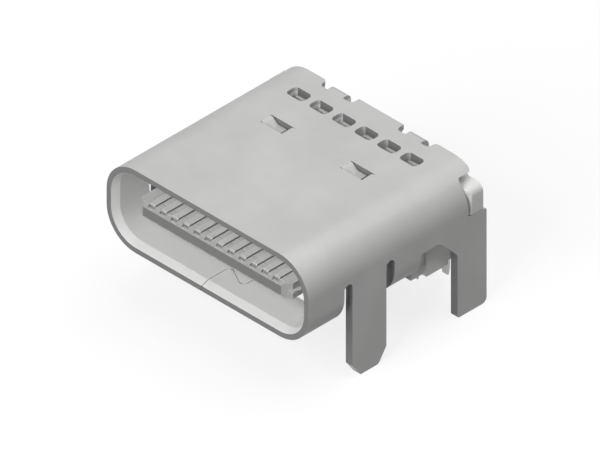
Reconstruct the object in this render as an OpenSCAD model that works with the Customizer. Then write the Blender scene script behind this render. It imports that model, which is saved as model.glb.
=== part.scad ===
// Board-mounted reversible socket: a folded sheet shell round a moulded tongue with 24 contacts.
// X runs across the mouth, Y runs back from the mouth's rim, Z is up.
// The origin is the centre of the plug opening in the plane of the rim.

/* [Shell sheet] */
// Width over the shell
shell_w = 8.94; // [8.8:0.02:9.4]
// Height over the shell
shell_h = 3.16; // [3.1:0.02:3.4]
// Thickness of the folded sheet
sheet_t = 0.3; // [0.2:0.01:0.34]
// Outer radius of the shell's four long corners
shell_r = 1.28; // [1.1:0.02:1.4]
// Depth of the shell's top, from the rim
shell_len = 7.7; // [7.5:0.05:8.2]
// Depth of the shell's floor, from the rim
floor_len = 5; // [4.6:0.05:5.2]
// How far the lead-in widens the mouth on each side
lead_in = 0.1; // [0.04:0.01:0.15]
// Depth of the lead-in
lead_in_len = 0.3; // [0.15:0.01:0.5]
// Gap left by a sheared edge
shear_gap = 0.03; // [0.02:0.005:0.05]

/* [Floor seam] */
// Where the seam starts at the rim, across the mouth
seam_start = -0.26; // [-0.5:0.02:0]
// Width of the interlocking dovetail's shift
seam_shift = 1.01; // [0.9:0.01:1.3]
// Radius of the seam's bends
seam_r = 0.16; // [0.1:0.01:0.2]
// Lean of the dovetail's flanks
seam_lean = 29; // [15:1:35]
// Depth at which the dovetail starts
seam_y = 1.05; // [0.8:0.05:1.3]

/* [Slots, lances and tabs] */
// Number of slots in the top
slot_count = 6; // [2:2:6]
// Spacing of the slots
slot_pitch = 1; // [0.9:0.01:1.1]
// Size of a slot across the mouth
slot_w = 0.74; // [0.5:0.02:0.8]
// Size of a slot along the shell
slot_l = 0.49; // [0.4:0.01:0.6]
// Corner radius of a slot
slot_r = 0.15; // [0.05:0.01:0.18]
// From the slots' centres to the top's rear edge
slot_back = 1.155; // [1:0.05:1.4]
// Length of a lance's window across the mouth
window_w = 0.93; // [0.85:0.01:1]
// Width of a lance's window along the shell
window_l = 0.505; // [0.4:0.005:0.6]
// Distance between the two windows
window_pitch = 3.54; // [3.3:0.02:4]
// From a window's root to the middle of its pitch
window_root = 0.555; // [0.5:0.005:0.6]
// Length of the coined strip beyond a lance's free end
coin_len = 0.17; // [0.1:0.01:0.2]
// Depth of the coining at the window's edge
coin_depth = 0.03; // [0.02:0.005:0.05]
// From the rim to the lance windows' centres
window_y = 4.9; // [4.6:0.05:5]
// Length of a lance
lance_len = 0.71; // [0.6:0.01:0.8]
// How far a lance dips
lance_dip = 0.195; // [0.1:0.005:0.25]
// How far the top's rear edge is eased underneath
rear_ease = 0.13; // [0.05:0.01:0.15]
// Depth of that easing
rear_ease_len = 0.18; // [0.1:0.01:0.25]
// Half width of the top's rear plateau
plateau_half = 0.99; // [0.8:0.01:1.1]
// Width of a rear notch
notch_w = 1.41; // [1.3:0.01:1.5]
// Depth of a rear notch
notch_l = 0.335; // [0.3:0.005:0.45]
// Radius of a rear notch's corners
notch_r = 0.15; // [0.1:0.01:0.16]
// Distance between the rear tabs' centres
tab_pitch = 3.44; // [3.3:0.02:3.5]
// Width of the tab in a rear notch
tab_w = 0.68; // [0.4:0.02:0.9]
// How far a tab stands behind the top's rear edge
tab_proud = 0.04; // [0:0.01:0.1]
// Height of a tab's lower end above the centre
tab_end = 0.72; // [0.6:0.02:1]
// Inner radius of the sheet's tight bends
bend_r = 0.06; // [0.03:0.01:0.1]

/* [Board legs] */
// Depth of the board's face below the centre
board_drop = 1.6; // [1.6:0.02:1.9]
// Length of the legs below the board's face
leg_below = 1.955; // [1:0.005:2.2]
// From the rim to a front leg
front_leg_y = 1.95; // [1.7:0.05:2.2]
// Width of a front leg
front_leg_w = 1.5; // [1.2:0.05:1.6]
// Width of a rear leg
rear_leg_w = 1.285; // [1.1:0.005:1.4]
// How far a rear leg stands behind the top's rear edge
rear_leg_back = 0.185; // [0.1:0.005:0.3]
// Width of the relief slot in front of a front leg
relief_front = 0.35; // [0.25:0.01:0.4]
// Width of the relief slot behind a front leg
relief_rear = 0.37; // [0.25:0.01:0.4]
// Height of the relief slots' tops above the centre
relief_top = 0.14; // [0.05:0.01:0.25]
// Width of the floor strip left between the leg blanks
floor_strip = 3.3; // [2.6:0.1:3.8]
// Height of the ear opening's foot above the centre
ear_gap_foot = 0.055; // [0:0.005:0.1]
// Height of the ear opening's head above the centre
ear_gap_head = 1.31; // [1.25:0.01:1.35]
// Radius of the ear opening's corners
ear_gap_r = 0.1; // [0.05:0.01:0.14]
// From the ear opening's front edge to the top's rear edge
ear_gap_len = 0.62; // [0.5:0.01:0.7]

/* [Housing] */
// Clearance between the housing and the pieces round it
fit = 0.02; // [0.01:0.005:0.04]
// From the end of the plug's cavity to the top's rear edge
cavity_back = 1.55; // [1.4:0.05:1.8]
// How far the moulded cavity steps in from the shell's sides
seat_step = 0.08; // [0.05:0.01:0.1]
// From the shell's floor to the wider part of the housing
foot_step = 0.5; // [0.3:0.05:0.7]
// Half width of the housing's front foot at the board
foot_half = 3.96; // [3.8:0.02:4]
// How far the rear foot clears the board
foot_rise = 0.16; // [0.1:0.01:0.25]
// Length of the foot that rests on the board
foot_len = 1.46; // [1.2:0.02:1.6]
// How far the ears stand behind the top's rear edge
ear_back = 0.05; // [0:0.01:0.12]
// Height of an ear above the centre
ear_top = 1.02; // [0.9:0.01:1.08]
// Radius of an ear's outer edge
ear_r = 0.28; // [0.1:0.01:0.3]
// Chamfer on the front of an ear
ear_chamfer = 0.15; // [0.1:0.01:0.25]
// How much of the housing's roof shows at the rear of a slot
roof_show = 0.08; // [0.04:0.01:0.14]
// How far the roof steps down in front of that
roof_step = 0.25; // [0.15:0.01:0.3]

/* [Tongue] */
// From the rim to the tongue's front face
tongue_y = 0.2; // [0.1:0.02:0.4]
// Width over the tongue
tongue_w = 6.69; // [6.6:0.01:6.8]
// Thickness of the tongue's plastic
tongue_t = 0.6; // [0.58:0.01:0.62]
// Thickness of the tongue at its front face
nose_t = 0.32; // [0.26:0.01:0.4]
// Length of the nose in front of the terminal carriers
nose_len = 0.4; // [0.35:0.01:0.5]
// From the tongue's front face to the collar
collar_front = 4.3; // [4:0.05:4.6]
// Width of the collar
collar_w = 7.2; // [7.1:0.05:7.5]
// Thickness of the collar
collar_t = 1.4; // [1.3:0.02:1.5]
// Thickness of the middle plate
plate_t = 0.13; // [0.1:0.01:0.14]
// Width over the middle plate
plate_w = 6.84; // [6.8:0.01:6.95]
// Length of the latch recess in each side of the middle plate
latch_len = 1.2; // [1:0.05:1.4]
// From the tongue's front face to the latch recesses
latch_front = 1.4; // [1.3:0.02:1.5]
// Depth of a latch recess
latch_depth = 0.4; // [0.3:0.02:0.5]
// Slope at each end of a latch recess
latch_ramp = 0.15; // [0.1:0.01:0.2]
// Thickness of a ground plate
ground_t = 0.12; // [0.08:0.01:0.15]
// How far a ground plate stops short of the collar's sides
ground_inset = 0.35; // [0.3:0.01:0.4]
// How far a ground plate's lip hooks over the collar's front edge
ground_lip = 0.2; // [0.15:0.01:0.3]
// Gap between a ground plate and the cavity's end
ground_gap = 0.05; // [0.02:0.01:0.1]

/* [Contacts] */
// Number of contacts on each face of the tongue
contact_count = 12; // [8:2:12]
// Spacing of the contacts
contact_pitch = 0.5; // [0.48:0.01:0.5]
// Width of a contact
contact_w = 0.25; // [0.2:0.01:0.28]
// Thickness of a contact's strip
contact_t = 0.16; // [0.12:0.01:0.18]
// How far a contact stands proud of the tongue
contact_proud = 0.05; // [0.02:0.01:0.08]
// Length of a surface foot
foot_pad = 0.5; // [0.4:0.02:0.55]
// From the top's rear edge to the upper contacts' drop
drop_back = 0.38; // [0.35:0.01:0.45]
// From the top's rear edge forward to the front row of pins
pin_front = 0.83; // [0.75:0.01:0.9]
// From the top's rear edge back to the rear row of pins
pin_rear = 0.01; // [0:0.01:0.03]
// Length of a pin below the board's face
pin_below = 1.68; // [1:0.02:1.7]
// Length of a pin's tapered end
pin_taper = 0.25; // [0.15:0.01:0.3]

/* [Hidden] */
$fn = 64;
over = 1;                                    // how far a cutter runs past what it cuts
arc_steps = 6;                               // straight pieces in a small bend
shell_x = shell_w / 2;
shell_z = shell_h / 2;
in_x = shell_x - sheet_t;                    // the cavity's half width
in_z = shell_z - sheet_t;                    // the cavity's half height
in_r = shell_r - sheet_t;
band = shell_z - shell_r;                    // half height of the flat side band
corner_x = shell_x - shell_r;                // centre of a long corner
board_z = -board_drop;
leg_z = board_z - leg_below;
tab_y = shell_len + tab_proud;
back_y = tab_y - sheet_t - fit;              // rear face of the housing between the ears
cavity_len = shell_len - cavity_back;        // depth of the plug's cavity
body_x = in_x - fit;
body_z = in_z - fit;
notch_y = shell_len - notch_l;
notch_out = plateau_half + notch_w;
slot_y = shell_len - slot_back;
roof_y = slot_y + slot_l / 2 - roof_show;    // front of the housing's full height
ear_gap_y = shell_len - ear_gap_len;
ear_end = shell_len + ear_back;
boss_x = notch_out + 0.54;                   // inner sides of the rear bosses, clear of the pins
foot_y = floor_len + 2 * fit;
wide_y = foot_y + foot_step;
top_z = tongue_t / 2;
contact_top = top_z + contact_proud;
contact_foot = contact_top - contact_t;
half_plate = plate_t / 2;
slide = fit / 2;                             // clearance of the pieces inside the tongue
bevel_len = 0.14;                            // the nose bevel's depth at the contacts' faces
carrier_y = tongue_y + nose_len;
carrier_x = (contact_count - 1) * contact_pitch / 2 + contact_w / 2 + 0.105;
tongue_x = tongue_w / 2;
plate_x = plate_w / 2;
collar_y = tongue_y + collar_front;
latch_y = tongue_y + latch_front;
plate_back = 0.4;                            // housing left behind the middle plate
contact_span = (contact_count - 1) * contact_pitch;
CONTACT_X = [for (i = [0:contact_count - 1]) i * contact_pitch - contact_span / 2];
function two(i) = str(i < 10 ? "0" : "", i);

// ---- outlines ----

function unit(v) = v / norm(v);

// The points of one corner [a, b, radius], rounded between its neighbours.
function corner(p, q, s) =
    let (c = [q[0], q[1]], a = [p[0], p[1]] - c, b = [s[0], s[1]] - c,
         half = acos(unit(a) * unit(b)) / 2,
         r = min(q[2] == undef ? 0 : q[2], 0.49 * tan(half) * min(norm(a), norm(b))))
    r <= 0 ? [c] :
    let (m = c + unit(unit(a) + unit(b)) * r / sin(half),
         from = c + unit(a) * r / tan(half) - m,
         turn = sign(a[0] * b[1] - a[1] * b[0]) * (180 - 2 * half))
    [for (i = [0:arc_steps]) let (t = -turn * i / arc_steps)
        m + [from[0] * cos(t) - from[1] * sin(t), from[0] * sin(t) + from[1] * cos(t)]];

function rounded(p) = let (n = len(p))
    [for (i = [0:n - 1]) each corner(p[(i + n - 1) % n], p[i], p[(i + 1) % n])];

module slab(w, h, r) {
    square([w - 2 * r, h], center = true);
    square([w, h - 2 * r], center = true);
    for (x = [-1, 1], y = [-1, 1])
        translate([x * (w / 2 - r), y * (h / 2 - r)]) circle(r);
}

// Outlines given as [y, z], drawn across X, and as [x, z], drawn along Y.
module along_x(x0, x1) translate([x0, 0, 0]) rotate([90, 0, 90]) linear_extrude(x1 - x0) children();
module along_y(y0, y1) translate([0, y1, 0]) rotate([90, 0, 0]) linear_extrude(y1 - y0) children();
module along_z(z0, z1) translate([0, 0, z0]) linear_extrude(z1 - z0) children();
module both_sides() { children(); mirror([1, 0, 0]) children(); }
module both_faces() { children(); mirror([0, 0, 1]) children(); }

// ---- the folded shell ----

// A taper that widens the opening at y = 0: a wedge for each pair of flat walls and a cone
// for each long corner.
module taper(grow, depth) {
    along_x(-corner_x, corner_x) polygon([
        [0, in_z + grow], [depth, in_z], [depth, -in_z], [0, -in_z - grow]]);
    along_z(-band, band) polygon([
        [-in_x - grow, 0], [in_x + grow, 0], [in_x, depth], [-in_x, depth]]);
    for (x = [-1, 1], z = [-1, 1])
        translate([x * corner_x, 0, z * band]) rotate([-90, 0, 0])
            cylinder(depth, in_r + grow, in_r);
}

// The seam's centre line in plan, as [point, normal] pairs: the front half of the dovetail,
// then the same half mirrored behind it.
function seam_bend(c, a0, a1, side) =
    [for (i = [0:arc_steps]) let (a = a0 + (a1 - a0) * i / arc_steps, n = [cos(a), sin(a)])
        [c + seam_r * n, side * n]];

function seam_line() =
    let (n = [sin(seam_lean), cos(seam_lean)], d = [cos(seam_lean), -sin(seam_lean)],
         flank = (seam_shift - 2 * seam_r - 2 * seam_r * n[0]) / d[0],
         c1 = [seam_start + seam_r, seam_y],
         c2 = c1 + 2 * seam_r * n + flank * d,
         half = concat([[[seam_start, -over], [-1, 0]]], seam_bend(c1, 180, 90 - seam_lean, 1),
                       seam_bend(c2, 270 - seam_lean, 360, -1)),
         last = len(half) - 1)
    concat(half, [for (i = [0:last]) let (p = half[last - i])
        [[p[0][0], floor_len - p[0][1]], [p[1][0], -p[1][1]]]]);

module seam() {
    line = seam_line();
    last = len(line) - 1;
    polygon(concat([for (p = line) p[0] + p[1] * shear_gap / 2],
                   [for (i = [0:last]) line[last - i][0] - line[last - i][1] * shear_gap / 2]));
}

// Openings for the leg blanks in the floor and lower corners, with their relief slots.
module leg_blank() {
    y0 = front_leg_y - relief_front;
    y1 = front_leg_y + front_leg_w + relief_rear;
    side = floor_strip / 2;
    along_z(-shell_z - over, -band) polygon(rounded([
        [side, y0, 0.15], [shell_x + over, y0], [shell_x + over, y1], [side, y1, 0.15]]));
    for (s = [[y0, relief_front], [y1 - relief_rear, relief_rear]])
        along_x(in_x - over / 2, shell_x + over) polygon(rounded([
            [s[0], -band - 0.01], [s[0] + s[1], -band - 0.01],
            [s[0] + s[1], relief_top, s[1] / 2], [s[0], relief_top, s[1] / 2]]));
}

// The side opening that an ear of the housing passes through, with its rear corner eased.
module ear_opening() {
    along_x(corner_x, shell_x + over) polygon(rounded([
        [ear_gap_y, ear_gap_foot, ear_gap_r], [ear_gap_y, ear_gap_head, ear_gap_r],
        [shell_len, ear_gap_head, 0.12], [shell_len, shell_z],
        [shell_len + over, shell_z], [shell_len + over, ear_gap_foot]]));
}

module rear_notch() {
    along_z(in_z - 0.2, shell_z + over) polygon(rounded([
        [plateau_half, shell_len + over], [plateau_half, notch_y, notch_r],
        [notch_out, notch_y, notch_r], [notch_out, shell_len, notch_r],
        [notch_out + 0.3, shell_len], [notch_out + 0.3, shell_len + over]]));
}

// The tab left in a rear notch, folded down behind the housing.
module rear_tab() {
    mid = tab_pitch / 2;
    along_x(mid - tab_w / 2, mid + tab_w / 2) polygon(rounded([
        [notch_y - 0.1, shell_z], [tab_y, shell_z, bend_r + sheet_t], [tab_y, tab_end, 0.05],
        [tab_y - sheet_t, tab_end], [tab_y - sheet_t, in_z, bend_r], [notch_y - 0.1, in_z]]));
}

// The opening round a lance, with the sheet coined down to its far edge.
module window() {
    edge = window_w - window_root;
    along_y(window_y - window_l / 2, window_y + window_l / 2) polygon([
        [-window_root, in_z - 0.2], [edge, in_z - 0.2], [edge, shell_z - coin_depth],
        [edge + coin_len, shell_z], [edge + coin_len, shell_z + over],
        [-window_root, shell_z + over]]);
}

// A spring lance: its root at the window's end, an eased dip, and a flat free end.
module lance() {
    steps = 10;
    ramp = 0.4;
    top = [for (i = [0:steps]) let (t = i / steps)
        [ramp * t, -lance_dip * (1 - cos(180 * t)) / 2]];
    line = concat([[-0.1, 0]], top, [[lance_len, -lance_dip]]);
    n = len(line);
    translate([-window_root, 0, shell_z])
        along_y(window_y - window_l / 2 + shear_gap, window_y + window_l / 2 - shear_gap)
            polygon(concat(line, [for (i = [0:n - 1]) line[n - 1 - i] - [0, sheet_t]]));
}

module front_leg() {
    y0 = front_leg_y;
    y1 = front_leg_y + front_leg_w;
    along_x(in_x, shell_x) polygon(rounded([
        [y0, 0], [y0, leg_z + 0.495, 0.05], [y0 + 0.35, leg_z, 0.08], [y1 - 0.36, leg_z, 0.15],
        [y1, leg_z + 0.52, 0.1], [y1, 0]]));
}

module rear_leg() {
    y1 = shell_len + rear_leg_back;
    y0 = y1 - rear_leg_w;
    drop = 0.8;
    along_x(in_x, shell_x) polygon(rounded([
        [y0 - 1.3, -band], [y0 - drop, -band, 0.3], [y0, -band - drop, 0.3], [y0, leg_z, 0.08],
        [y1, leg_z, 0.2], [y1, ear_gap_foot, 0.1], [y0 - 1.3, ear_gap_foot]]));
}

module shell_wall() {
    difference() {
        along_y(0, shell_len) slab(shell_w, shell_h, shell_r);
        along_y(-over, shell_len + over) slab(2 * in_x, 2 * in_z, in_r);
        taper(lead_in, lead_in_len);
        translate([0, shell_len, 0]) mirror([0, 1, 0]) taper(rear_ease, rear_ease_len);
        translate([-shell_w, floor_len, -shell_h]) cube([2 * shell_w, shell_len, shell_h - band]);
        along_z(-shell_z - over, -in_z + 0.2) seam();
        both_sides() leg_blank();
        both_sides() ear_opening();
        both_sides() rear_notch();
        for (i = [0:slot_count - 1])
            translate([(i - (slot_count - 1) / 2) * slot_pitch, slot_y, 0])
                along_z(in_z - 0.2, shell_z + over) slab(slot_w, slot_l, slot_r);
        for (x = [-1, 1]) translate([x * window_pitch / 2, 0, 0]) window();
    }
}

module outer_shell() {
    color("silver") union() {
        shell_wall();
        both_sides() front_leg();
        both_sides() rear_leg();
        both_sides() rear_tab();
        for (x = [-1, 1]) translate([x * window_pitch / 2, 0, 0]) lance();
    }
}

// ---- the moulded housing ----

// The cavity that continues through the housing's feet behind the shell's floor.
module moulded_cavity() {
    along_y(floor_len - over, cavity_len)
        slab(2 * (in_x - seat_step), 2 * in_z, in_r - seat_step);
}

module feet() {
    difference() {
        union() {
            along_y(foot_y, wide_y) polygon([
                [-foot_half, board_z], [foot_half, board_z], [foot_half + 0.01, board_z + 0.27],
                [body_x - 0.1, -in_z + 0.3], [body_x - 0.06, -0.6], [-body_x + 0.06, -0.6],
                [-body_x + 0.1, -in_z + 0.3], [-foot_half - 0.01, board_z + 0.27]]);
            translate([-body_x, wide_y, board_z])
                cube([2 * body_x, foot_len - foot_step, foot_rise + 0.1]);
            translate([-body_x, wide_y, board_z + foot_rise])
                cube([2 * body_x, ear_end - wide_y, board_drop - foot_rise - band / 3]);
        }
        moulded_cavity();
    }
}

// An ear that fills the shell's side opening, chamfered where it meets the sheet.
module ear() {
    side = shell_x - slide;
    y0 = ear_gap_y + fit;
    intersection() {
        along_y(y0, ear_end) polygon(rounded([
            [corner_x, ear_gap_foot + fit], [side, ear_gap_foot + fit],
            [side, ear_top, ear_r], [corner_x, ear_top]]));
        along_z(0, shell_z) polygon([
            [0, y0], [side - ear_chamfer, y0], [side, y0 + ear_chamfer],
            [side, ear_end], [0, ear_end]]);
        along_x(0, shell_x) polygon(rounded([
            [y0, ear_gap_foot + fit, ear_gap_r - fit], [y0, shell_z],
            [ear_end, shell_z], [ear_end, ear_gap_foot + fit]]));
    }
}

// The block behind the cavity: its roof steps down in front, under the slots.
module back_block() {
    along_y(cavity_len, ear_end) difference() {
        slab(2 * body_x, 2 * body_z, in_r - fit);
        translate([-shell_w, body_z - roof_step]) square([2 * shell_w, shell_h]);
    }
    along_y(roof_y, ear_end) slab(2 * body_x, 2 * body_z, in_r - fit);
}

// A symmetrical outline, from the points of its right half.
function whole(p) = let (last = len(p) - 1)
    concat(p, [for (i = [0:last]) [-p[last - i][0], p[last - i][1]]]);

function nose_plan() = [
    [tongue_x - 0.295, tongue_y], [tongue_x - 0.195, tongue_y + 0.08],
    [tongue_x, tongue_y + 0.245], [tongue_x, collar_y + 0.2]];

// The tongue's nose and side rails, bevelled so the plug slides on.
module nose_and_rails() {
    slope = (contact_top - nose_t / 2) / bevel_len;
    bevel = (top_z - nose_t / 2) / slope;
    intersection() {
        along_x(-tongue_w, tongue_w) polygon([
            [tongue_y, -nose_t / 2], [tongue_y + bevel, -top_z], [collar_y + 0.2, -top_z],
            [collar_y + 0.2, top_z], [tongue_y + bevel, top_z], [tongue_y, nose_t / 2]]);
        along_z(-over, over) polygon(whole(nose_plan()));
    }
}

// The room for the two carriers, the contacts in the nose and the middle plate.
module tongue_room() {
    room_z = contact_top + 2 * slide;
    translate([-carrier_x - slide, carrier_y, -room_z])
        cube([2 * (carrier_x + slide), back_y - carrier_y + over, 2 * room_z]);
    for (x = CONTACT_X)
        translate([x - contact_w / 2 - slide, 0, 0]) both_faces()
            translate([0, 0, contact_foot - slide])
                cube([contact_w + 2 * slide, carrier_y + slide, contact_t + over]);
    along_z(-half_plate - slide, half_plate + slide)
        polygon(whole(plate_plan(slide, over)));
}

// Half of the middle plate in plan, grown by a clearance, with its exposed edge pushed out.
function plate_plan(gap, out) =
    let (y0 = tongue_y + 0.145, y1 = tongue_y + 0.52, side = plate_x + out,
         tip = [tongue_x - 0.125, y0 - gap / 2])
    out > 0 ?
    [[tip[0] - 0.15, y0 + 0.1 - gap], tip - [gap, 0], tip + [out, 0.05], [side, y1],
     [side, collar_y - gap], [plate_x + gap, collar_y - gap], [plate_x + gap, back_y - plate_back]] :
    [[tip[0] - 0.15, y0 + 0.1], tip, [plate_x, y1],
     [plate_x, latch_y], [plate_x - latch_depth, latch_y + latch_ramp],
     [plate_x - latch_depth, latch_y + latch_len - latch_ramp], [plate_x, latch_y + latch_len],
     [plate_x, back_y - plate_back - slide]];

// Holes for the front row of board pins, which pass down through the housing.
module pin_holes() {
    y = shell_len - pin_front;
    for (i = [0:2:contact_count - 1])
        translate([CONTACT_X[i] - contact_w / 2 - fit, y - fit, board_z - over])
            cube([contact_w + 2 * fit, contact_t + 2 * fit, board_drop + over]);
}

module housing() {
    color("gainsboro") difference() {
        union() {
            feet();
            back_block();
            both_sides() ear();
            along_y(collar_y, cavity_len + 0.1) slab(collar_w, collar_t, 0.25);
            nose_and_rails();
        }
        translate([-boss_x, back_y, -shell_h]) cube([2 * boss_x, shell_len, 2 * shell_h]);
        tongue_room();
        pin_holes();
    }
}

// ---- the pieces inside the tongue ----

// A terminal carrier with an open groove for each contact.
module carrier() {
    top = contact_top + slide;
    difference() {
        union() {
            translate([-carrier_x, carrier_y + slide, half_plate + slide])
                cube([2 * carrier_x, back_y - carrier_y - 2 * slide, top_z - half_plate - slide]);
            translate([-carrier_x, collar_y + slide, half_plate + slide])
                cube([2 * carrier_x, back_y - collar_y - 2 * slide, top - half_plate - slide]);
        }
        for (x = CONTACT_X)
            translate([x - contact_w / 2 - slide, 0, contact_foot - slide])
                cube([contact_w + 2 * slide, shell_len + over, contact_t + over]);
    }
}

module upper_terminal_carrier() { color("gainsboro") carrier(); }
module lower_terminal_carrier() { color("gainsboro") mirror([0, 0, 1]) carrier(); }

module mid_plate() {
    color("lightgray") along_z(-half_plate, half_plate) polygon(whole(plate_plan(0, 0)));
}

// A ground plate seated on the collar, hooked over its front edge.
module ground_plate() {
    z = collar_t / 2;
    half = collar_w / 2 - ground_inset;
    y0 = collar_y - slide;
    y1 = cavity_len - ground_gap;
    along_x(-half, half) polygon(rounded([
        [y1, z], [y0, z], [y0, z - ground_lip], [y0 - ground_t, z - ground_lip],
        [y0 - ground_t, z + ground_t, ground_t], [y1, z + ground_t]]));
}

module upper_ground_plate() { color("silver") ground_plate(); }
module lower_ground_plate() { color("silver") mirror([0, 0, 1]) ground_plate(); }

// ---- contacts ----

bend_in = 0.07;                              // inner radius of a contact's bends
pin_ease = 0.05;                             // how far each side of a pin leans in at its end
function bevel_y(z) = tongue_y + bevel_len * (z - nose_t / 2) / (contact_top - nose_t / 2);

// Upper contact: along the tongue, out of the housing's back, down to a foot on the board.
module upper_contact(i) {
    y0 = shell_len + drop_back;
    y1 = y0 + contact_t;
    foot_top = board_z + contact_t;
    color("whitesmoke")
        along_x(CONTACT_X[i] - contact_w / 2, CONTACT_X[i] + contact_w / 2) polygon(rounded([
            [bevel_y(top_z), top_z], [bevel_y(contact_top), contact_top],
            [y1, contact_top, bend_in + contact_t], [y1, foot_top, bend_in],
            [y1 + foot_pad, foot_top], [y1 + foot_pad, board_z],
            [y0, board_z, bend_in + contact_t], [y0, contact_foot, bend_in],
            [bevel_y(top_z), contact_foot]]));
}

// Lower contact: along the tongue's underside, then down as a pin through the board.
// Every second pin stands in the front row.
module lower_contact(i) {
    y0 = i % 2 == 0 ? shell_len - pin_front : shell_len + pin_rear;
    y1 = y0 + contact_t;
    tip = board_z - pin_below;
    color("whitesmoke")
        along_x(CONTACT_X[i] - contact_w / 2, CONTACT_X[i] + contact_w / 2) polygon(rounded([
            [bevel_y(top_z), -top_z], [bevel_y(contact_top), -contact_top],
            [y0, -contact_top, bend_in], [y0, tip + pin_taper], [y0 + pin_ease, tip],
            [y1 - pin_ease, tip], [y1, tip + pin_taper], [y1, -contact_foot, bend_in + contact_t],
            [bevel_y(top_z), -contact_foot]]));
}

outer_shell();
housing();
upper_terminal_carrier();
lower_terminal_carrier();
mid_plate();
upper_ground_plate();
lower_ground_plate();
for (i = [0:contact_count - 1]) {
    upper_contact(i);
    lower_contact(i);
}
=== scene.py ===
import math

import bpy
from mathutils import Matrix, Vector


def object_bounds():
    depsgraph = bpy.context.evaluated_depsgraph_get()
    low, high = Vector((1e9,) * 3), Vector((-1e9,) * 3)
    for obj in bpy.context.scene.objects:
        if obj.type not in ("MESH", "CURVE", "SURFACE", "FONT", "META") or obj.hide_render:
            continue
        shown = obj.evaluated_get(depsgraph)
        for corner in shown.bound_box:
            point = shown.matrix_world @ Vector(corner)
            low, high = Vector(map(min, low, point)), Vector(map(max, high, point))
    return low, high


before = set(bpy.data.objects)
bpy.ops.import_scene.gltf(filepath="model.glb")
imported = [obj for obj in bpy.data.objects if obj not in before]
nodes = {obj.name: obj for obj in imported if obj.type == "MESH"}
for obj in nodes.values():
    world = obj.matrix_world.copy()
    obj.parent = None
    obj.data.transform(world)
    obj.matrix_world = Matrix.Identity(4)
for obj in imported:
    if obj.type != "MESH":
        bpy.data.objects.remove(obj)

cadLow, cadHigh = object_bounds()
mm = 0.001
print("frame loaded:", len(nodes), "nodes")


def newMaterial(name):
    mat = bpy.data.materials.new(name)
    mat.use_nodes = True
    tree = mat.node_tree
    tree.nodes.clear()
    out = tree.nodes.new("ShaderNodeOutputMaterial")
    shader = tree.nodes.new("ShaderNodeBsdfPrincipled")
    tree.links.new(shader.outputs[0], out.inputs[0])
    return mat, tree, shader


def placeOn(tree):  # a point's place on the socket, in metres
    return tree.nodes.new("ShaderNodeTexCoord").outputs["Object"]


def facing(tree, axis):  # how far a face looks along an axis, from -1 to 1
    return axisOf(tree, tree.nodes.new("ShaderNodeNewGeometry").outputs["True Normal"], axis)


def axisOf(tree, vector, axis):
    split = tree.nodes.new("ShaderNodeSeparateXYZ")
    tree.links.new(vector, split.inputs[0])
    return split.outputs[axis]


def combine(tree, operation, first, second=None):  # arithmetic on numbers or node outputs
    node = tree.nodes.new("ShaderNodeMath")
    node.operation = operation
    for socket, value in zip(node.inputs, (first, second)):
        if isinstance(value, (int, float)):
            socket.default_value = value
        elif value is not None:
            tree.links.new(value, socket)
    return node.outputs[0]


def noise(tree, scale, detail, rough=0.6, stretch=(1, 1, 1)):  # scale counts per millimetre
    place = tree.nodes.new("ShaderNodeMapping")
    place.inputs["Scale"].default_value = [s / mm for s in stretch]
    tree.links.new(placeOn(tree), place.inputs["Vector"])
    tex = tree.nodes.new("ShaderNodeTexNoise")
    tex.inputs["Scale"].default_value = scale
    tex.inputs["Detail"].default_value = detail
    tex.inputs["Roughness"].default_value = rough
    tree.links.new(place.outputs[0], tex.inputs["Vector"])
    return tex.outputs["Fac"]


noiseRange = (0.3, 0.7)  # where nearly all of a noise lies


def spread(tree, value, low, high, start=noiseRange[0], stop=noiseRange[1]):
    fit = tree.nodes.new("ShaderNodeMapRange")
    fit.inputs["From Min"].default_value = start
    fit.inputs["From Max"].default_value = stop
    fit.inputs["To Min"].default_value = low
    fit.inputs["To Max"].default_value = high
    tree.links.new(value, fit.inputs["Value"])
    return fit.outputs[0]


def tint(tree, value, dark, light):  # a noise turned into a gentle change of colour
    ramp = tree.nodes.new("ShaderNodeValToRGB")
    for stop, position, colour in zip(ramp.color_ramp.elements, noiseRange, (dark, light)):
        stop.position = position
        stop.color = (*colour, 1)
    tree.links.new(value, ramp.inputs[0])
    return ramp.outputs[0]


def blend(tree, mask, first, colour):  # a colour laid over another where the mask is 1
    mix = tree.nodes.new("ShaderNodeMix")
    mix.data_type = "RGBA"
    tree.links.new(mask, mix.inputs["Factor"])
    tree.links.new(first, mix.inputs["A"])
    mix.inputs["B"].default_value = (*colour, 1)
    return mix.outputs["Result"]


def bump(tree, shader, height, depth):
    node = tree.nodes.new("ShaderNodeBump")
    node.inputs["Strength"].default_value = 1.0
    node.inputs["Distance"].default_value = depth
    tree.links.new(height, node.inputs["Height"])
    tree.links.new(node.outputs[0], shader.inputs["Normal"])


shellFinish = {
    "dark": (0.52, 0.52, 0.515),
    "light": (0.57, 0.57, 0.565),
    "inner": (0.88, 0.88, 0.875),    # the sheet's inner face: painted light, much brighter than the outside to stand in for light inside the mouth
    "edge": (0.22, 0.22, 0.218),     # sheared edges, unplated and torn, darkened further as painted shade on faces looking squarely forward or back
    "edgeFacing": 0.9,               # how squarely a sheared edge looks forward or back
    "metal": 0.14,
    "shine": 0.12,
    "rough": (0.45, 0.55),
    "grain": (6.0, 4, 0.6, (1, 0.06, 1)),  # rolling marks: count, detail, roughness, stretch
    "grainDepth": 0.0012 * mm,
    "cloud": (0.5, 3),
    "tabFace": (7.72 * mm, 7.76 * mm),     # depth of the rear tabs' outer face
    "bendCentre": (3.19 * mm, 0.30 * mm),  # half width and half height of the bends' centres
    "midSheet": 1.13 * mm,                 # radius of the sheet's middle there
}


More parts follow.
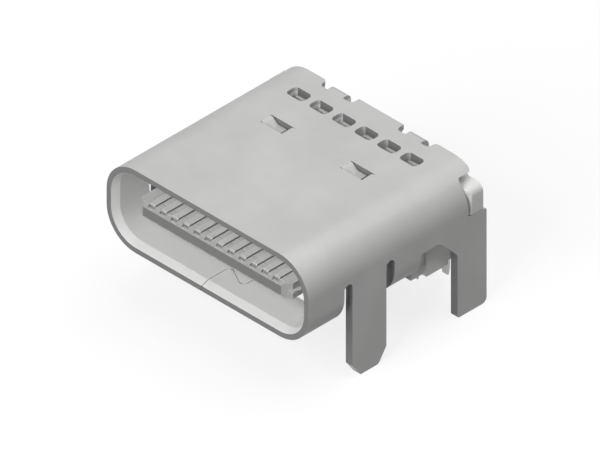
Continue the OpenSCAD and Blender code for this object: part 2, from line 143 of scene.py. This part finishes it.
def shearedEdgesAndShade(tree):  # 1 on the sheet's front and rear edges, where the sheared-edge colour and painted shade go
    squarely = combine(tree, "ABSOLUTE", facing(tree, "Y"))
    edge = combine(tree, "GREATER_THAN", squarely, shellFinish["edgeFacing"])
    depth = axisOf(tree, placeOn(tree), "Y")
    tabLow, tabHigh = shellFinish["tabFace"]
    onTab = combine(tree, "MULTIPLY", combine(tree, "GREATER_THAN", depth, tabLow),
                    combine(tree, "LESS_THAN", depth, tabHigh))
    return combine(tree, "MULTIPLY", edge, combine(tree, "SUBTRACT", 1.0, onTab))


def paintedLightInside(tree):  # 1 on the inner face of the sheet, found round its bends, where the painted light goes
    squares, outward = [], []
    for axis, centre in zip("XZ", shellFinish["bendCentre"]):
        place = axisOf(tree, placeOn(tree), axis)
        away = combine(tree, "SUBTRACT", combine(tree, "ABSOLUTE", place), centre)
        squares.append(combine(tree, "POWER", combine(tree, "MAXIMUM", away, 0.0), 2.0))
        outward.append(combine(tree, "MULTIPLY", place, facing(tree, axis)))
    reach = combine(tree, "SQRT", combine(tree, "ADD", *squares))
    inside = combine(tree, "LESS_THAN", reach, shellFinish["midSheet"])
    turnedIn = combine(tree, "LESS_THAN", combine(tree, "ADD", *outward), 0.0)
    return combine(tree, "MULTIPLY", inside, turnedIn)


def satinNickel():  # plated sheet with faint rolling grain along the shell
    mat, tree, shader = newMaterial("satinNickel")
    grain = noise(tree, *shellFinish["grain"])
    cloud = noise(tree, *shellFinish["cloud"])
    colour = tint(tree, cloud, shellFinish["dark"], shellFinish["light"])
    # painted light: the inner faces get a much brighter colour
    colour = blend(tree, paintedLightInside(tree), colour, shellFinish["inner"])
    # sheared-edge colour, with painted shade on faces looking forward or back
    colour = blend(tree, shearedEdgesAndShade(tree), colour, shellFinish["edge"])
    tree.links.new(colour, shader.inputs["Base Color"])
    tree.links.new(spread(tree, grain, *shellFinish["rough"]), shader.inputs["Roughness"])
    shader.inputs["Metallic"].default_value = shellFinish["metal"]
    shader.inputs["Specular IOR Level"].default_value = shellFinish["shine"]
    bump(tree, shader, grain, shellFinish["grainDepth"])
    return mat


wearAndShadeReach = {
    "depth": 2.0 * mm,        # how far back from the front the plug rubs and the painted shade reaches
    "front": (-0.95, -0.45),  # facing of fully darkened and of untouched faces
    "side": (0.4, 0.8),       # facing of untouched and of fully darkened sides
}


def wornAndShadedFaces(tree, ends, top):  # near the front of a part: 1 on its front, ends on its sides, top elsewhere; painted shade by which way a face looks, together with plug wear
    near = combine(tree, "LESS_THAN", axisOf(tree, placeOn(tree), "Y"), wearAndShadeReach["depth"])
    front = spread(tree, facing(tree, "Y"), 1, 0, *wearAndShadeReach["front"])
    sideways = combine(tree, "ABSOLUTE", facing(tree, "X"))
    side = spread(tree, sideways, 0, ends, *wearAndShadeReach["side"])
    wornAndShaded = combine(tree, "MAXIMUM", combine(tree, "MAXIMUM", front, side), top)
    return combine(tree, "MULTIPLY", near, wornAndShaded)


plasticFinish = {
    "dark": (0.77, 0.77, 0.76),
    "light": (0.83, 0.83, 0.82),
    "scuffedAndShaded": (0.18, 0.18, 0.177),  # painted shade on faces looking forward and sideways near the front, and scuffing where the plug meets the tongue
    "wearAndShade": (0.55, 0.26),            # share of it on the tongue's sides and on its top
    "rough": (0.52, 0.64),
    "fleck": (3.0, 5, 0.7),
    "grit": (14.0, 4),
    "gritDepth": 0.002 * mm,
}


def mouldedPlastic(name):  # matt glass-filled polymer
    mat, tree, shader = newMaterial(name)
    fleck = noise(tree, *plasticFinish["fleck"])
    grit = noise(tree, *plasticFinish["grit"])
    colour = tint(tree, fleck, plasticFinish["dark"], plasticFinish["light"])
    wornAndShaded = wornAndShadedFaces(tree, *plasticFinish["wearAndShade"])
    # painted shade: faces near the front are darkened by which way they look
    tree.links.new(blend(tree, wornAndShaded, colour, plasticFinish["scuffedAndShaded"]), shader.inputs["Base Color"])
    tree.links.new(spread(tree, fleck, *plasticFinish["rough"]), shader.inputs["Roughness"])
    bump(tree, shader, grit, plasticFinish["gritDepth"])
    return mat


plateFinish = {
    "contactPlating": ((0.85, 0.845, 0.83), (0.90, 0.895, 0.88)),  # dark and light patches
    "midSheetPlating": ((0.66, 0.66, 0.655), (0.74, 0.74, 0.735)),
    "rubbedAndShaded": (0.26, 0.258, 0.252),  # noses rubbed by the plug, and painted shade on the contacts' fronts and sheared sides
    "wearAndShade": (1.0, 0.0),              # share of it on a contact's sides and on its top
    "metal": 0.25,
    "rough": (0.30, 0.40),
    "streak": (9.0, 3, 0.6, (1, 0.15, 1)),
    "streakDepth": 0.0006 * mm,
    "cloud": (1.5, 3),
}


def platedStrip(name, wornAndShaded):  # bright plating over a stamped strip
    mat, tree, shader = newMaterial(name)
    streak = noise(tree, *plateFinish["streak"])
    colour = tint(tree, noise(tree, *plateFinish["cloud"]), *plateFinish[name])
    if wornAndShaded:
        mask = wornAndShadedFaces(tree, *plateFinish["wearAndShade"])
        # painted shade: contact fronts and sides are darkened by which way they face
        colour = blend(tree, mask, colour, plateFinish["rubbedAndShaded"])
    tree.links.new(colour, shader.inputs["Base Color"])
    tree.links.new(spread(tree, streak, *plateFinish["rough"]), shader.inputs["Roughness"])
    shader.inputs["Metallic"].default_value = plateFinish["metal"]
    bump(tree, shader, streak, plateFinish["streakDepth"])
    return mat


finishes = {  # by a word in the solid's name
    "outer_shell": satinNickel(),
    "housing": mouldedPlastic("housingPolymer"),
    "carrier": mouldedPlastic("tonguePolymer"),
    "contact": platedStrip("contactPlating", wornAndShaded=True),
    "plate": platedStrip("midSheetPlating", wornAndShaded=False),
}
print("finishes made:", len(finishes))


edgeSoftening = {
    "width": 0.012 * mm,
    "segments": 2,
    "weld": 0.001 * mm,
    "flat": 0.5,    # degrees, below which two faces are one
    "corner": 32,   # degrees, from which an edge is broken
    "bend": 16.5,   # degrees between facets, up to which a bend reads as round
}


def roundBends():  # smooth shading over bends, with a crease at true corners
    group = bpy.data.node_groups.new("roundBends", "GeometryNodeTree")
    for flow in ("INPUT", "OUTPUT"):
        group.interface.new_socket(name="Geometry", in_out=flow, socket_type="NodeSocketGeometry")
    source = group.nodes.new("NodeGroupInput")
    drop = group.nodes.new("GeometryNodeRemoveAttribute")
    drop.inputs["Name"].default_value = "custom_normal"
    faces = group.nodes.new("GeometryNodeSetShadeSmooth")
    creases = group.nodes.new("GeometryNodeSetShadeSmooth")
    creases.domain = "EDGE"
    creases.inputs["Shade Smooth"].default_value = False
    end = group.nodes.new("NodeGroupOutput")
    chain = [source, drop, faces, creases, end]
    for before, after in zip(chain, chain[1:]):
        group.links.new(before.outputs[0], after.inputs[0])
    angle = group.nodes.new("GeometryNodeInputMeshEdgeAngle").outputs["Unsigned Angle"]
    sharp = combine(group, "GREATER_THAN", angle, math.radians(edgeSoftening["bend"]))
    group.links.new(sharp, creases.inputs["Selection"])
    return group


def softenEdges(obj, bends):  # stamped and moulded edges are never knife sharp
    weld = obj.modifiers.new("weld", "WELD")
    weld.merge_threshold = edgeSoftening["weld"]
    flat = obj.modifiers.new("flat", "DECIMATE")
    flat.decimate_type = "DISSOLVE"
    flat.angle_limit = math.radians(edgeSoftening["flat"])
    obj.modifiers.new("bends", "NODES").node_group = bends
    edge = obj.modifiers.new("edge", "BEVEL")
    edge.width = edgeSoftening["width"]
    edge.segments = edgeSoftening["segments"]
    edge.limit_method = "ANGLE"
    edge.angle_limit = math.radians(edgeSoftening["corner"])
    obj.modifiers.new("facing", "WEIGHTED_NORMAL").keep_sharp = True


bends = roundBends()
for name, obj in nodes.items():
    obj.data.materials.clear()
    obj.data.materials.append(next(finishes[word] for word in finishes if word in name))
    softenEdges(obj, bends)
print("solids finished")


stageLook = {
    "floor": (0.24, 0.24, 0.24),
    "floorRough": 0.9,
    "floorHalf": 0.25,   # metres from its middle to its sides
    "floorGlow": 0.79,   # brings the background up to white
    "worldLevel": 0.11,  # soft light from all round
}


def backgroundRays(tree):  # 1 for rays from the camera, mirrors and glass
    rays = tree.nodes.new("ShaderNodeLightPath").outputs
    seen = combine(tree, "MAXIMUM", rays["Is Camera Ray"], rays["Is Glossy Ray"])
    return combine(tree, "MAXIMUM", seen, rays["Is Transmission Ray"])


def paleFloor():
    mat, tree, shader = newMaterial("paleFloor")
    shader.inputs["Base Color"].default_value = (*stageLook["floor"], 1)
    shader.inputs["Roughness"].default_value = stageLook["floorRough"]
    shader.inputs["Specular IOR Level"].default_value = 0.0
    shader.inputs["Emission Color"].default_value = (1, 1, 1, 1)
    glow = combine(tree, "MULTIPLY", backgroundRays(tree), stageLook["floorGlow"])
    tree.links.new(glow, shader.inputs["Emission Strength"])
    return mat


def makeFloor():
    half, z = stageLook["floorHalf"], cadLow[2]
    corners = [(-half, -half, z), (half, -half, z), (half, half, z), (-half, half, z)]
    mesh = bpy.data.meshes.new("floor")
    mesh.from_pydata(corners, [], [(0, 1, 2, 3)])
    mesh.materials.append(paleFloor())
    floor = bpy.data.objects.new("floor", mesh)
    bpy.context.scene.collection.objects.link(floor)


def makeWorld():
    world = bpy.data.worlds.new("studio")
    bpy.context.scene.world = world
    world.use_nodes = True
    tree = world.node_tree
    tree.nodes.clear()
    out = tree.nodes.new("ShaderNodeOutputWorld")
    air = tree.nodes.new("ShaderNodeBackground")
    air.inputs["Color"].default_value = (1, 1, 1, 1)
    level = combine(tree, "MAXIMUM", backgroundRays(tree), stageLook["worldLevel"])
    tree.links.new(level, air.inputs["Strength"])
    tree.links.new(air.outputs[0], out.inputs[0])


camera = {
    "target": (0.0, 4.094 * mm, -0.960 * mm),
    "azimuth": 45.0,
    "elevation": 35.264,
    "distance": 0.2,
    "across": 18.779 * mm,  # width of the picture at the socket
    "clip": (0.001, 10),
}


def aimAtSocket(obj):
    look = Vector(camera["target"]) - obj.location
    obj.rotation_euler = look.to_track_quat("-Z", "Y").to_euler()


def makeCamera():
    data = bpy.data.cameras.new("view")
    data.type = "ORTHO"
    data.ortho_scale = camera["across"]
    data.clip_start, data.clip_end = camera["clip"]
    cam = bpy.data.objects.new("view", data)
    az = math.radians(camera["azimuth"])
    el = math.radians(camera["elevation"])
    out = Vector((math.sin(az) * math.cos(el), -math.cos(az) * math.cos(el), math.sin(el)))
    cam.location = Vector(camera["target"]) + out * camera["distance"]
    aimAtSocket(cam)
    bpy.context.scene.collection.objects.link(cam)
    bpy.context.scene.camera = cam


lamps = [  # name, place in metres, size in metres, watts
    ("front", (0.010, -0.140, 0.088), 0.11, 0.25),
    ("overhead", (0.022, 0.06, 0.155), 0.18, 0.18),
]


def makeLamps():
    for name, place, size, watts in lamps:
        data = bpy.data.lights.new(name, "AREA")
        data.shape = "SQUARE"
        data.size = size
        data.energy = watts
        lamp = bpy.data.objects.new(name, data)
        lamp.location = place
        aimAtSocket(lamp)
        bpy.context.scene.collection.objects.link(lamp)


makeCamera()
makeWorld()
makeFloor()
makeLamps()
bpy.context.scene.view_settings.view_transform = "Standard"
print("stage set")
